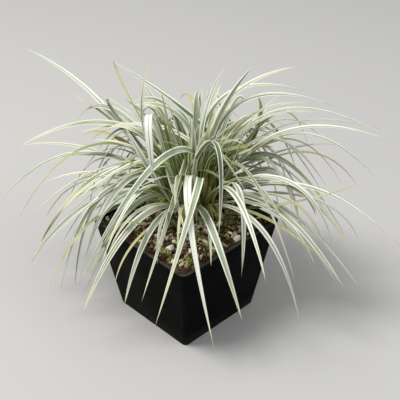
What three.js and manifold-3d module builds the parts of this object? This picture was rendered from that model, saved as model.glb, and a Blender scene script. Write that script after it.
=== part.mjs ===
// Potted variegated mondo grass: a square nursery pot, the soil in it, and a clump of arching blades.
// Millimetres, +Z up, origin at the centre of the pot's base, pot sides along X and Y.
// Compass angles are in degrees from +X towards +Y; the front corner of the pot is at 315.

import * as THREE from 'three';
import { mergeVertices } from 'three/addons/utils/BufferGeometryUtils.js';
import Module from 'manifold-3d';

const wasm = await Module();
wasm.setup();

// Pot
const potTop = 90; // side of the square at the rim, without the bead
const potBottom = 68; // side of the square at the base
const potHeight = 72;
const potWall = 1.4;
const potFloor = 2;
const potCorner = 3.5; // corner radius at the rim
const potCornerAtBase = 3;
const rimBead = 0.6; // how far the bead stands out
const rimBeadHeight = 2.4;
const drainRadius = 3.5;
const drainOffset = 20; // from the pot's axis, along X and along Y

// Soil
const soilGap = 0.3; // to the pot and to the crown
const soilAtRim = 70.4;
const soilAtCrown = 73.4;
const soilCrumb = 1.3; // height of the crumbs, up and down
const soilCells = 14; // cells of the relief along each side
const holeSides = 32; // of the hole that the crown stands in

// Clump
const clump = { x: -9, y: 16 }; // its axis, in plan
const crownWidth = 21; // half axes of its oval crown, across and along the view at 315
const crownDepth = 15;
const crownAngle = 45;
const crownFoot = 60; // where the crown stands in the soil
const crownTop = 98;
const sectorAngle = 45; // each tuft grows in a sector of its own
const sectorInset = 0.2; // clearance of a tuft to its sector's side
const bendZone = 1.5; // how softly a blade turns along its sector's side

// Blades
const rootHeight = 66;
const bladeWidth = 4.4;
const bladeDepth = 0.85;
const bladeSegments = 6;
const rimClearance = 75.5; // blades pass no lower than this on their way over soil and rim
const rimMargin = 3;
const lowestTip = 6;

// The tufts: name, compass angle, and how many seeded blades fill them at each habit
const tufts = [
  { name: 'tuft_right', angle: 45, erect: 2, upright: 2, arching: 4, low: 4 },
  { name: 'tuft_back_right', angle: 90, erect: 3, upright: 4, arching: 9, low: 8 },
  { name: 'tuft_back', angle: 135, erect: 2, upright: 3, arching: 8, low: 8 },
  { name: 'tuft_back_left', angle: 180, erect: 2, upright: 3, arching: 7, low: 5 },
  { name: 'tuft_left', angle: 225, erect: 2, upright: 3, arching: 4, low: 5 },
  { name: 'tuft_front_left', angle: 270, erect: 4, upright: 2, arching: 2, low: 0 },
  { name: 'tuft_front', angle: 315, erect: 4, upright: 1, arching: 0, low: 0 },
  { name: 'tuft_front_right', angle: 0, erect: 4, upright: 2, arching: 2, low: 1 },
];

// The seeded blades of each habit: ranges of reach and height, half-way and at the tip
const habits = {
  erect: {
    start: 0.25,
    midReach: [5, 16],
    midHeight: [104, 118],
    tipReach: [12, 46],
    tipHeight: [124, 158],
  },
  upright: {
    start: 0.1,
    midReach: [14, 34],
    midHeight: [104, 126],
    tipReach: [34, 86],
    tipHeight: [96, 142],
  },
  arching: {
    start: 0.4,
    midReach: [36, 58],
    midHeight: [98, 124],
    tipReach: [66, 116],
    tipHeight: [40, 98],
  },
  low: {
    start: 0.7,
    midReach: [50, 74],
    midHeight: [82, 96],
    tipReach: [84, 128],
    tipHeight: [18, 66],
  },
};
const goldenShare = 0.618; // with a habit's start, spreads its blades evenly over the sector

// The blades that stand out: half-way point and tip as compass angle, reach from the clump's axis
// and height, then the blade's width. Those that lean across the crown give their root as well.
const leaders = [
  { root: [254, 11, 66], mid: [181, 90, 112], tip: [188, 153, 149], width: 4.6 },
  { mid: [183, 74, 108], tip: [183, 132, 117], width: 2.4 },
  { root: [123, 2, 67], mid: [194, 65, 127], tip: [198, 54, 135], width: 3.6 },
  { mid: [184, 76, 121], tip: [180, 140, 81], width: 4.2 },
  { root: [107, 10, 88], mid: [172, 66, 111], tip: [178, 136, 76], width: 2.6 },
  { mid: [190, 65, 104], tip: [190, 102, 95], width: 3.2 },
  { mid: [195, 88, 92], tip: [195, 158, 75], width: 2.8 },
  { root: [203, 11, 87], mid: [193, 50, 139], tip: [192, 65, 166], width: 2.8 },
  { root: [70, 11, 70], mid: [134, 17, 135], tip: [185, 73, 162], width: 4.8 },
  { root: [115, 11, 84], mid: [199, 61, 122], tip: [206, 138, 92], width: 4.8 },
  { mid: [212, 82, 103], tip: [212, 152, 51], width: 4.8 },
  { root: [151, 10, 84], mid: [213, 70, 112], tip: [222, 126, 56], width: 3.4 },
  { mid: [206, 80, 83], tip: [206, 130, 55], width: 3.6 },
  { mid: [213, 70, 88], tip: [213, 123, 45], width: 4.2 },
  { root: [151, 10, 82], mid: [219, 65, 93], tip: [228, 118, 25], width: 5 },
  { mid: [232, 68, 81], tip: [232, 117, 32], width: 4.6 },
  { mid: [225, 59, 75], tip: [225, 90, 40], width: 2.8 },
  { mid: [245, 66, 77], tip: [245, 104, 28], width: 3.2 },
  { root: [189, 11, 80], mid: [243, 48, 98], tip: [247, 83, 32], width: 4.8 },
  { mid: [235, 32, 128], tip: [224, 28, 178], width: 2.4 },
  { root: [195, 12, 72], mid: [215, 28, 145], tip: [247, 31, 107], width: 5 },
  { mid: [238, 14, 120], tip: [240, 21, 162], width: 2.4 },
  { root: [50, 11, 90], mid: [286, 39, 129], tip: [253, 89, 33], width: 4.8 },
  { mid: [270, 55, 82], tip: [268, 100, 29], width: 5 },
  { mid: [272, 50, 92], tip: [275, 85, 73], width: 2.4 },
  { mid: [284, 66, 84], tip: [285, 95, 67], width: 2.4 },
  { mid: [286, 53, 85], tip: [285, 87, 44], width: 4.2 },
  { root: [312, 4, 74], mid: [307, 40, 117], tip: [296, 97, 61], width: 4.4 },
  { mid: [295, 50, 96], tip: [299, 78, 77], width: 2.2 },
  { mid: [306, 44, 98], tip: [308, 74, 77], width: 2.2 },
  { root: [297, 6, 70], mid: [290, 42, 129], tip: [312, 72, 86], width: 4.2 },
  { root: [330, 6, 76], mid: [319, 55, 117], tip: [303, 88, 43], width: 5.2 },
  { root: [302, 7, 76], mid: [312, 52, 113], tip: [323, 96, 31], width: 5.2 },
  { mid: [327, 58, 92], tip: [332, 106, 54], width: 5 },
  { mid: [328, 45, 92], tip: [330, 80, 80], width: 2.8 },
  { root: [93, 11, 75], mid: [330, 52, 150], tip: [328, 72, 93], width: 3.8 },
  { mid: [352, 72, 92], tip: [357, 104, 32], width: 3.8 },
  { root: [47, 9, 72], mid: [350, 50, 112], tip: [345, 64, 52], width: 4.6 },
  { root: [72, 12, 80], mid: [12, 73, 116], tip: [14, 108, 68], width: 3.4 },
  { mid: [14, 58, 93], tip: [14, 117, 45], width: 5.4 },
  { mid: [10, 62, 92], tip: [10, 98, 60], width: 3.2 },
  { mid: [8, 52, 86], tip: [8, 99, 74], width: 3 },
  { mid: [14, 62, 93], tip: [13, 117, 128], width: 3.2 },
  { mid: [18, 66, 98], tip: [20, 97, 64], width: 3.2 },
  { mid: [55, 14, 148], tip: [55, 75, 154], width: 4.4 },
  { mid: [50, 26, 146], tip: [50, 93, 145], width: 4.4 },
  { mid: [46, 30, 134], tip: [46, 77, 150], width: 2.6 },
  { mid: [40, 34, 132], tip: [41, 79, 147], width: 2.6 },
  { mid: [40, 52, 134], tip: [40, 120, 138], width: 3.2 },
  { mid: [32, 50, 150], tip: [32, 133, 137], width: 3 },
  { mid: [27, 56, 138], tip: [27, 126, 145], width: 4.6 },
  { mid: [35, 62, 134], tip: [35, 120, 109], width: 3.6 },
  { root: [96, 10, 84], mid: [53, 63, 112], tip: [55, 104, 110], width: 3.4 },
  { mid: [32, 46, 131], tip: [32, 90, 101], width: 4.6 },
  { mid: [50, 59, 122], tip: [50, 105, 83], width: 2.6 },
  { mid: [55, 74, 108], tip: [55, 121, 73], width: 2.4 },
  { mid: [25, 77, 105], tip: [25, 144, 72], width: 5 },
  { mid: [27, 64, 102], tip: [26, 116, 54], width: 5 },
  { mid: [30, 80, 92], tip: [30, 116, 63], width: 3.2 },
  { mid: [36, 15, 143], tip: [36, 65, 181], width: 4.6 },
  { mid: [25, 13, 130], tip: [25, 39, 182], width: 5 },
  { mid: [50, 5, 128], tip: [50, 20, 175], width: 4.2 },
  { mid: [50, 52, 140], tip: [50, 78, 115], width: 3.2 },
  { root: [71, 12, 70], mid: [50, 41, 126], tip: [66, 44, 151], width: 3.4 },
  { mid: [100, 6, 115], tip: [100, 21, 158], width: 2.6 },
  { mid: [125, 10, 145], tip: [125, 28, 133], width: 3.6 },
  { root: [209, 11, 70], mid: [256, 44, 82], tip: [262, 80, 50], width: 4 },
  { root: [168, 11, 72], mid: [178, 30, 108], tip: [180, 38, 128], width: 3.2 },
  { root: [158, 10, 72], mid: [160, 38, 104], tip: [160, 39, 123], width: 3.2 },
  { root: [117, 10, 88], mid: [167, 34, 134], tip: [185, 61, 129], width: 3.6 },
  { root: [143, 9, 88], mid: [181, 34, 133], tip: [190, 45, 127], width: 2.4 },
  { root: [122, 9, 86], mid: [136, 32, 133], tip: [145, 62, 125], width: 2.4 },
  { root: [95, 9, 75], mid: [71, 27, 139], tip: [60, 35, 146], width: 3.8 },
  { root: [330, 8, 68], mid: [329, 38, 82], tip: [324, 70, 76], width: 3 },
  { root: [51, 11, 90], mid: [176, 15, 136], tip: [192, 55, 133], width: 3.6 },
];

// Colours and finishes
const potPlastic = { color: 0x1b1c1e, roughness: 0.55, metalness: 0 };
const darkSoil = { color: 0x4a3b2a, roughness: 0.95, metalness: 0 };
const paleLeaf = { color: 0xc9d2b4, roughness: 0.5, metalness: 0 };

// Seeded draws, the same on every run
function seededDraws(seed) {
  let state = seed >>> 0;
  return () => {
    state = (state + 0x6d2b79f5) >>> 0;
    let mixed = Math.imul(state ^ (state >>> 15), state | 1);
    mixed ^= mixed + Math.imul(mixed ^ (mixed >>> 7), mixed | 61);
    return ((mixed ^ (mixed >>> 14)) >>> 0) / 4294967296;
  };
}

// A closed geometry as a solid, and a solid as a geometry
function solidFrom(geometry) {
  const plain = geometry.clone();
  plain.deleteAttribute('normal');
  plain.deleteAttribute('uv');
  const merged = mergeVertices(plain, 1e-5);
  return new wasm.Manifold(new wasm.Mesh({
    numProp: 3,
    vertProperties: new Float32Array(merged.attributes.position.array),
    triVerts: new Uint32Array(merged.index.array),
  }));
}

function geometryFrom(solid) {
  const { vertProperties, triVerts } = solid.getMesh();
  const geometry = new THREE.BufferGeometry();
  geometry.setAttribute('position', new THREE.BufferAttribute(vertProperties, 3));
  geometry.setIndex(new THREE.BufferAttribute(triVerts, 1));
  geometry.computeVertexNormals();
  return geometry;
}

function indexedGeometry(points, triangles) {
  const geometry = new THREE.BufferGeometry();
  geometry.setFromPoints(points);
  geometry.setIndex(triangles);
  return geometry;
}

// A closed skin over rings of equal point counts, counterclockwise seen from above, lowest first
function loft(rings) {
  const count = rings[0].length;
  const triangles = [];
  for (let level = 0; level + 1 < rings.length; level += 1) {
    for (let side = 0; side < count; side += 1) {
      const a = level * count + side;
      const b = level * count + ((side + 1) % count);
      triangles.push(a, b, b + count, a, b + count, a + count);
    }
  }
  const top = (rings.length - 1) * count;
  for (let side = 1; side + 1 < count; side += 1) {
    triangles.push(0, side + 1, side);
    triangles.push(top, top + side, top + side + 1);
  }
  return indexedGeometry(rings.flat(), triangles);
}

// A rounded square at a height
function roundedSquare(side, corner, z) {
  const half = side / 2 - corner;
  const steps = 4;
  const points = [];
  [[1, 1, 0], [-1, 1, 90], [-1, -1, 180], [1, -1, 270]].forEach(([sx, sy, start]) => {
    for (let step = 0; step <= steps; step += 1) {
      const turn = THREE.MathUtils.degToRad(start + (90 * step) / steps);
      points.push(new THREE.Vector3(
        sx * half + corner * Math.cos(turn),
        sy * half + corner * Math.sin(turn),
        z,
      ));
    }
  });
  return points;
}

// The pot's outline at a height, moved out by a margin
function potSection(z, margin) {
  const share = z / potHeight;
  const side = THREE.MathUtils.lerp(potBottom, potTop, share) + 2 * margin;
  const corner = THREE.MathUtils.lerp(potCornerAtBase, potCorner, share) + margin;
  return roundedSquare(side, corner, z);
}

function makePot() {
  const beadFoot = potHeight - rimBeadHeight;
  let pot = solidFrom(loft([
    potSection(0, 0),
    potSection(beadFoot, 0),
    potSection(beadFoot + rimBead, rimBead),
    potSection(potHeight, rimBead),
  ]));
  const inside = solidFrom(loft([
    potSection(potFloor, -potWall),
    potSection(potHeight + 1, -potWall),
  ]));
  pot = pot.subtract(inside);
  for (const [sx, sy] of [[1, 1], [-1, 1], [-1, -1], [1, -1]]) {
    const hole = new THREE.CylinderGeometry(drainRadius, drainRadius, 4 * potFloor, 12);
    hole.rotateX(Math.PI / 2);
    hole.translate(sx * drainOffset, sy * drainOffset, 0);
    pot = pot.subtract(solidFrom(hole));
  }
  return pot;
}

// The oval crown's outline at a height, scaled about the clump's axis
function crownPoint(angle, scale, z) {
  const turn = THREE.MathUtils.degToRad(angle - crownAngle);
  const reach = scale / Math.hypot(Math.cos(turn) / crownWidth, Math.sin(turn) / crownDepth);
  const compass = THREE.MathUtils.degToRad(angle);
  return new THREE.Vector3(clump.x + reach * Math.cos(compass), clump.y + reach * Math.sin(compass), z);
}

// Soil: crumbs on a low mound, with a plain hole that the crown stands in
function makeSoil() {
  const draw = seededDraws(11);
  const half = potTop / 2;
  const surface = [];
  for (let row = 0; row <= soilCells; row += 1) {
    for (let column = 0; column <= soilCells; column += 1) {
      const x = -half + (potTop * column) / soilCells;
      const y = -half + (potTop * row) / soilCells;
      const away = Math.min(1, Math.hypot(x - clump.x, y - clump.y) / half);
      const mound = THREE.MathUtils.lerp(soilAtCrown, soilAtRim, away);
      surface.push(new THREE.Vector3(x, y, mound + soilCrumb * (2 * draw() - 1)));
    }
  }
  const floor = surface.map((point) => new THREE.Vector3(point.x, point.y, 0));
  const across = soilCells + 1;
  const triangles = [];
  for (let row = 0; row < soilCells; row += 1) {
    for (let column = 0; column < soilCells; column += 1) {
      const a = row * across + column;
      const quad = [a, a + 1, a + across + 1, a + across];
      const under = quad.map((index) => index + surface.length);
      triangles.push(quad[0], quad[1], quad[2], quad[0], quad[2], quad[3]);
      triangles.push(under[0], under[2], under[1], under[0], under[3], under[2]);
    }
  }
  const border = [];
  for (let step = 0; step < soilCells; step += 1) border.push(step);
  for (let step = 0; step < soilCells; step += 1) border.push(step * across + soilCells);
  for (let step = soilCells; step > 0; step -= 1) border.push(soilCells * across + step);
  for (let step = soilCells; step > 0; step -= 1) border.push(step * across);
  border.forEach((a, place) => {
    const b = border[(place + 1) % border.length];
    triangles.push(a, a + surface.length, b + surface.length, a, b + surface.length, b);
  });
  const block = solidFrom(indexedGeometry([...surface, ...floor], triangles));

  const bed = solidFrom(loft([
    potSection(potFloor + soilGap, -potWall - soilGap),
    potSection(potHeight + 2, -potWall - soilGap),
  ]));
  const holeScale = 1 + soilGap / crownDepth;
  const holeRing = (z) => Array.from(
    { length: holeSides },
    (_, side) => crownPoint((side * 360) / holeSides, holeScale, z),
  );
  const hole = solidFrom(loft([holeRing(crownFoot - soilGap), holeRing(potHeight + 20)]));
  return block.intersect(bed).subtract(hole);
}

// A tuft's sector, as its two sides with normals that point into it
function sectorOf(tuft) {
  const sides = [-1, 1].map((sign) => {
    const turn = THREE.MathUtils.degToRad(tuft.angle + (sign * sectorAngle) / 2);
    return { nx: sign * Math.sin(turn), ny: -sign * Math.cos(turn) };
  });
  return { ...tuft, sides };
}

function insetFrom(side, point) {
  return (point.x - clump.x) * side.nx + (point.y - clump.y) * side.ny;
}

// Bends a point softly away from its sector's sides
function bendClear(point, sector, clearance) {
  for (const side of sector.sides) {
    const inset = insetFrom(side, point);
    const bent = clearance + bendZone * Math.log1p(Math.exp((inset - clearance) / bendZone));
    point.x += side.nx * (bent - inset);
    point.y += side.ny * (bent - inset);
  }
  return point;
}

// Holds a point inside its sector; near the clump's axis that takes several turns
function holdInside(point, sector) {
  for (let turns = 0; turns < 12; turns += 1) {
    for (const side of sector.sides) {
      const missing = Math.max(0, sectorInset - insetFrom(side, point));
      point.x += side.nx * missing;
      point.y += side.ny * missing;
    }
  }
  return point;
}

// A place given as compass angle, reach from the clump's axis and height
function place([angle, reach, height]) {
  const compass = THREE.MathUtils.degToRad(angle);
  return new THREE.Vector3(
    clump.x + reach * Math.cos(compass),
    clump.y + reach * Math.sin(compass),
    height,
  );
}

// The blade's middle line: from its root through its half-way point to its tip. Blades that
// reach out far are rooted further out and higher in the crown.
function middleLine(blade) {
  const [angle, reach] = blade.mid;
  const rootShare = Math.min(0.66, 0.25 + 0.006 * reach);
  const rise = THREE.MathUtils.clamp(0.25 * (reach - 25), 0, 14);
  const root = blade.root ? place(blade.root) : crownPoint(angle, rootShare, rootHeight + rise);
  const mid = place(blade.mid);
  const tip = place(blade.tip);
  const bow = mid.clone().multiplyScalar(2).addScaledVector(root, -0.5).addScaledVector(tip, -0.5);
  return new THREE.QuadraticBezierCurve3(root, bow, tip);
}

function isOverPot(point) {
  const reach = potTop / 2 + rimMargin;
  return Math.abs(point.x) < reach && Math.abs(point.y) < reach;
}

function isOverCrown(point) {
  const turn = THREE.MathUtils.degToRad(crownAngle);
  const dx = point.x - clump.x;
  const dy = point.y - clump.y;
  const across = dx * Math.cos(turn) + dy * Math.sin(turn);
  const along = dy * Math.cos(turn) - dx * Math.sin(turn);
  return Math.hypot(across / crownWidth, along / crownDepth) < 0.92;
}

// Raises a blade and draws it out until it clears the soil and the rim
function clearOfPot(blade) {
  const raised = { ...blade, mid: [...blade.mid], tip: [...blade.tip] };
  for (let tries = 0; tries < 30; tries += 1) {
    const points = middleLine(raised).getPoints(24);
    const touches = points.some((point) => (
      point.z < rimClearance && isOverPot(point) && !isOverCrown(point)
    ));
    if (!touches) break;
    raised.mid[2] += 2;
    raised.tip[1] += 2;
  }
  return raised;
}

// A blade's width along its length: slim at the root, full in the middle, drawn out to the tip
function widthAt(share, width) {
  const fromRoot = Math.min(1, 0.34 + 2.2 * share);
  const toTip = share > 0.6 ? 1 - 0.85 * ((share - 0.6) / 0.4) ** 2 : 1;
  return width * fromRoot * toTip;
}

// A three-sided blade: two edges above and a keel below, ending in a point
function bladeSolid(blade, sector) {
  const curve = middleLine(blade);
  const points = [];
  for (let ring = 0; ring < bladeSegments; ring += 1) {
    const share = ring / bladeSegments;
    const half = widthAt(share, blade.width) / 2;
    const centre = bendClear(curve.getPoint(share), sector, half + 2 * sectorInset);
    const ahead = curve.getTangent(share);
    const level = new THREE.Vector3(-ahead.y, ahead.x, 0).normalize();
    const lift = new THREE.Vector3().crossVectors(ahead, level).normalize();
    const roll = THREE.MathUtils.degToRad(blade.roll) * share;
    const across = level.clone().multiplyScalar(Math.cos(roll)).addScaledVector(lift, Math.sin(roll));
    const under = new THREE.Vector3().crossVectors(across, ahead).normalize();
    points.push(
      holdInside(centre.clone().addScaledVector(across, half), sector),
      holdInside(centre.clone().addScaledVector(under, bladeDepth), sector),
      holdInside(centre.clone().addScaledVector(across, -half), sector),
    );
  }
  points.push(holdInside(curve.getPoint(1), sector));

  const triangles = [0, 1, 2];
  for (let ring = 0; ring + 1 < bladeSegments; ring += 1) {
    for (let side = 0; side < 3; side += 1) {
      const a = 3 * ring + side;
      const b = 3 * ring + ((side + 1) % 3);
      triangles.push(a, b + 3, b, a, a + 3, b + 3);
    }
  }
  const last = 3 * (bladeSegments - 1);
  const tip = points.length - 1;
  for (let side = 0; side < 3; side += 1) {
    triangles.push(last + side, tip, last + ((side + 1) % 3));
  }
  return solidFrom(indexedGeometry(points, triangles));
}

// The dense foot of a tuft, where its leaf sheaths stand packed together
function tuftFoot(sector) {
  const levels = [[crownFoot, 0.98], [77, 0.95], [88, 0.78], [crownTop, 0.45]];
  const rings = levels.map(([z, scale]) => {
    const ring = [place([sector.angle, 0.6, z])];
    for (let step = -2; step <= 2; step += 1) {
      ring.push(crownPoint(sector.angle + (step * sectorAngle) / 4, scale, z));
    }
    return ring.map((point) => holdInside(point, sector));
  });
  return solidFrom(loft(rings));
}

// The seeded blades of a tuft
function fillers(tuft, draw) {
  const between = ([least, most]) => least + (most - least) * draw();
  const blades = [];
  for (const [habit, range] of Object.entries(habits)) {
    for (let count = 0; count < tuft[habit]; count += 1) {
      const share = (goldenShare * (count + 0.6 * draw()) + range.start) % 1;
      const angle = tuft.angle + 0.94 * sectorAngle * (share - 0.5);
      const turn = 16 * (draw() - 0.5);
      blades.push({
        mid: [angle, between(range.midReach), between(range.midHeight)],
        tip: [angle + turn, between(range.tipReach), Math.max(lowestTip, between(range.tipHeight))],
        width: bladeWidth * (0.6 + 0.5 * draw()),
        roll: 70 * (draw() - 0.5),
      });
    }
  }
  return blades;
}

function belongsTo(tuft, blade) {
  const turn = (blade.tip[0] - tuft.angle + 540) % 360 - 180;
  return Math.abs(turn) <= sectorAngle / 2;
}

function makeTuft(tuft, order) {
  const sector = sectorOf(tuft);
  const draw = seededDraws(101 + order);
  const named = leaders
    .filter((blade) => belongsTo(tuft, blade))
    .map((blade) => ({ ...blade, roll: 40 * (draw() - 0.5) }));
  return [...named, ...fillers(tuft, draw)]
    .map(clearOfPot)
    .map((blade) => bladeSolid(blade, sector))
    .reduce((whole, blade) => whole.add(blade), tuftFoot(sector));
}

// Fills the pockets that crossing blades close off, by leaving out their inward-facing skins
function fillPockets(geometry) {
  const corners = Array.from(geometry.index.array);
  const skin = Array.from({ length: geometry.attributes.position.count }, (_, vertex) => vertex);
  const skinOf = (vertex) => {
    let found = vertex;
    while (skin[found] !== found) found = skin[found];
    skin[vertex] = found;
    return found;
  };
  corners.forEach((vertex, corner) => {
    skin[skinOf(vertex)] = skinOf(corners[corner - (corner % 3)]);
  });

  const at = (vertex) => new THREE.Vector3().fromBufferAttribute(geometry.attributes.position, vertex);
  const volumes = new Map();
  for (let first = 0; first < corners.length; first += 3) {
    const [a, b, c] = corners.slice(first, first + 3);
    const volume = at(a).dot(at(b).cross(at(c)));
    volumes.set(skinOf(a), (volumes.get(skinOf(a)) ?? 0) + volume);
  }
  geometry.setIndex(corners.filter((vertex) => volumes.get(skinOf(vertex)) > 0));
  return geometry;
}

const plant = new THREE.Group();

function addPart(name, solid, finish) {
  const geometry = fillPockets(geometryFrom(solid));
  const mesh = new THREE.Mesh(geometry, new THREE.MeshStandardMaterial(finish));
  mesh.name = name;
  plant.add(mesh);
}

addPart('pot', makePot(), potPlastic);
addPart('soil', makeSoil(), darkSoil);
tufts.forEach((tuft, order) => addPart(tuft.name, makeTuft(tuft, order), paleLeaf));

export default plant;
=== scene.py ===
import math
from collections import namedtuple
from functools import partialmethod
from itertools import combinations

import bpy
import numpy as np
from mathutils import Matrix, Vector


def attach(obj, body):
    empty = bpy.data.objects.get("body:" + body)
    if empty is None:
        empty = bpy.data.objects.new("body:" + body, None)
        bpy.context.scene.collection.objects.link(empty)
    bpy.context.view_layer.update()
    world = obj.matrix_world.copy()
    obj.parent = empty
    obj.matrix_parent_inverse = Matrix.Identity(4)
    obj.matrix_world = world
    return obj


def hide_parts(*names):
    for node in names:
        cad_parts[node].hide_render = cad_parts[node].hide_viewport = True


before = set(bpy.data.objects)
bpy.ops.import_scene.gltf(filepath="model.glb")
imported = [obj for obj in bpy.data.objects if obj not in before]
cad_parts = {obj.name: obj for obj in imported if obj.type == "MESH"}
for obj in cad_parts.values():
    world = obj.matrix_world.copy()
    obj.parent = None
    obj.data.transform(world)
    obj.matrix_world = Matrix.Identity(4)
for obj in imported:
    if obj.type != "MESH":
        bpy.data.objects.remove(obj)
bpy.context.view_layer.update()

# Potted variegated mondo grass. Working sizes are millimetres, as in the part's source; meshes
# are made in metres. Compass angles are in degrees from +X towards +Y.
METRE = 1000

POT_TOP = 90.0
POT_BOTTOM = 68.0
POT_HEIGHT = 72.0
POT_WALL = 1.4
POT_FLOOR = 2.0
POT_CORNER = 3.5
POT_CORNER_AT_BASE = 3.0

SOIL_GAP = 0.3
SOIL_AT_RIM = 70.4
SOIL_AT_CROWN = 73.4
SOIL_CRUMB = 1.3
SOIL_CELLS = 14

CLUMP = (-9.0, 16.0)
CROWN_WIDTH = 21.0
CROWN_DEPTH = 15.0
CROWN_ANGLE = 45.0
SECTOR_ANGLE = 45.0
SECTOR_INSET = 0.2
BEND_ZONE = 1.5
HOLD_ROUNDS = 12

ROOT_HEIGHT = 66.0
OUTERMOST_ROOT = 0.66
HIGHEST_RISE = 14
BLADE_WIDTH = 4.4
BLADE_RINGS = 26
RIM_CLEARANCE = 75.5
RIM_MARGIN = 3.0
RIM_LIFT = 2
CROWN_KEPT = 0.92
LOWEST_TIP = 6.0

# The camera that took the photo: its direction, its distance and its shift right and up
CAMERA_AZIMUTH = math.radians(45.5)
CAMERA_ELEVATION = math.radians(32.7)
TO_CAMERA = np.array([
    math.sin(CAMERA_AZIMUTH) * math.cos(CAMERA_ELEVATION),
    -math.cos(CAMERA_AZIMUTH) * math.cos(CAMERA_ELEVATION),
    math.sin(CAMERA_ELEVATION),
])
CAMERA_DISTANCE = 584.5
CAMERA_SHIFT = (9.5, 73.7)
CAMERA_LENS = 72
CAMERA_SENSOR = 36

# How blades turn their faces to the picture, measured at two places on each. Those that lean out
# to the right, or nearly straight to the left, turn less once their tips reach far enough.
HELD_TO_PICTURE = 0.62
CROSSING_HELD = 0.7
MOST_TWIST = 50
TWIST_SHARES = (0.15, 0.7)
LEFT_SHARE = 0.6
LEFT_RAMP = (0.86, 0.94)
FAR_RAMP = (60, 100)
LEADER_ROLL = 40

# The tufts: name, compass angle, seeded blades of the erect, upright, arching and low habit, and
# how full the tuft is of finer ones
TUFTS = [
    ("tuft_right", 45, (2, 2, 4, 4), 0.5),
    ("tuft_back_right", 90, (3, 4, 9, 8), 0.5),
    ("tuft_back", 135, (2, 3, 8, 8), 0.6),
    ("tuft_back_left", 180, (2, 3, 7, 5), 0.4),
    ("tuft_left", 225, (2, 3, 4, 5), 0.3),
    ("tuft_front_left", 270, (4, 2, 2, 0), 0.5),
    ("tuft_front", 315, (4, 1, 0, 0), 0.0),
    ("tuft_front_right", 0, (4, 2, 2, 1), 1.0),
]

# Habits: where the spread starts, and ranges of reach and height half-way and at the tip
HABITS = [
    (0.25, (5, 16), (104, 118), (12, 46), (124, 158)),
    (0.1, (14, 34), (104, 126), (34, 86), (96, 142)),
    (0.4, (36, 58), (98, 124), (66, 116), (40, 98)),
    (0.7, (50, 74), (82, 96), (84, 128), (18, 66)),
]
GOLDEN_SHARE = 0.618

# Seeds, to which a tuft adds its number, and the soil's own
BLADE_SEED = 101
LOOK_SEED = 301
ADDED_SEED = 401
FINE_SEED = 601
CHANCE_SEED = 801
SHEATH_SEED = 901
CROSSING_SEED = 1101
RELIEF_SEED = 11

# Seeded blades: their turn in plan, the roll of their tips, and where the tips yellow
SEEDED_TURN = 16
SEEDED_ROLL = 70
SEEDED_FADE = (0.72, 1.12)

# Finer blades: how many times fewer they are in each habit, and how they differ from the others
FINE_FEWER = (3, 3, 2, 2)
FINE_START = 0.3
FINE_TURN = 18
FINE_MID_REACH = 0.94
FINE_TIP_REACH = 0.92
FINE_BELOW = 3
FINE_ROLL = 90
FINE_WIDTH = (1.5, 3.2)
FINE_FADE = (0.6, 1.1)

# Blades that cross the crown: the spread of the angle and the ranges of reach and height, at
# the root, half-way and at the tip, whose reach is counted from half-way
CROSSING_ROOT = (260, (4, 11), (68, 84))
CROSSING_MID = (50, (8, 42), (98, 130))
CROSSING_TIP = (50, (8, 54), (88, 140))
CROSSING_WIDTH = (1.8, 4.0)

# Sheaths and dry leaves at the crown's foot, in each tuft: how many, the share of the crown at
# which they stand, the heights they start and bend at, and their widths
SHEATHS = 16
SHEATH_ROOT = (0.25, 0.87)
SHEATH_HEIGHTS = (64, 80)
SHEATH_WIDTH = (3.2, 5.0)
DRY_LEAVES = 12
DRY_ROOT = (0.7, 0.9)
DRY_HEIGHTS = (70, 88)
DRY_WIDTH = (1.2, 2.4)
FOOT_RINGS = 10

# Looks: share of the half width that is white, depth of the green, yellowing
LOOKS = {
    "pale": (0.97, 0.03, 0.03),
    "white": (0.55, 0.06, 0.03),
    "edged": (0.36, 0.35, 0.03),
    "grey": (0.24, 0.25, 0.04),
    "cream": (0.58, 0.10, 0.25),
    "yellow": (0.36, 0.30, 0.60),
    "deep": (0.34, 0.72, 0.04),
    "green": (0.18, 0.85, 0.22),
    "fresh": (0.12, 0.90, 0.12),
    "lime": (0.38, 0.86, 0.50),
    "sheath": (0.20, 0.60, 0.75),
    "litter": (0.20, 0.40, 1.00),
}
MARGIN_SPREAD = 0.2

# Which look a draw gives: the first one whose limit is above it
LOOK_SHARES = [
    ("edged", 0.24), ("deep", 0.54), ("grey", 0.66), ("white", 0.82), ("cream", 0.9),
    ("green", 0.96), ("yellow", 1.0),
]

# A blade: its curve's control points, width, turn at root and tip, look, the share of the length
# from which it yellows, whether it stands inside the tuft, whether it is held inside the tuft's
# form, and the number of its rings
Blade = namedtuple(
    "Blade", "controls width twist look fade inner held rings", defaults=[BLADE_RINGS]
)
OUTER = 0
INNER = 1
NO_FADE = 1.2

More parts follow.
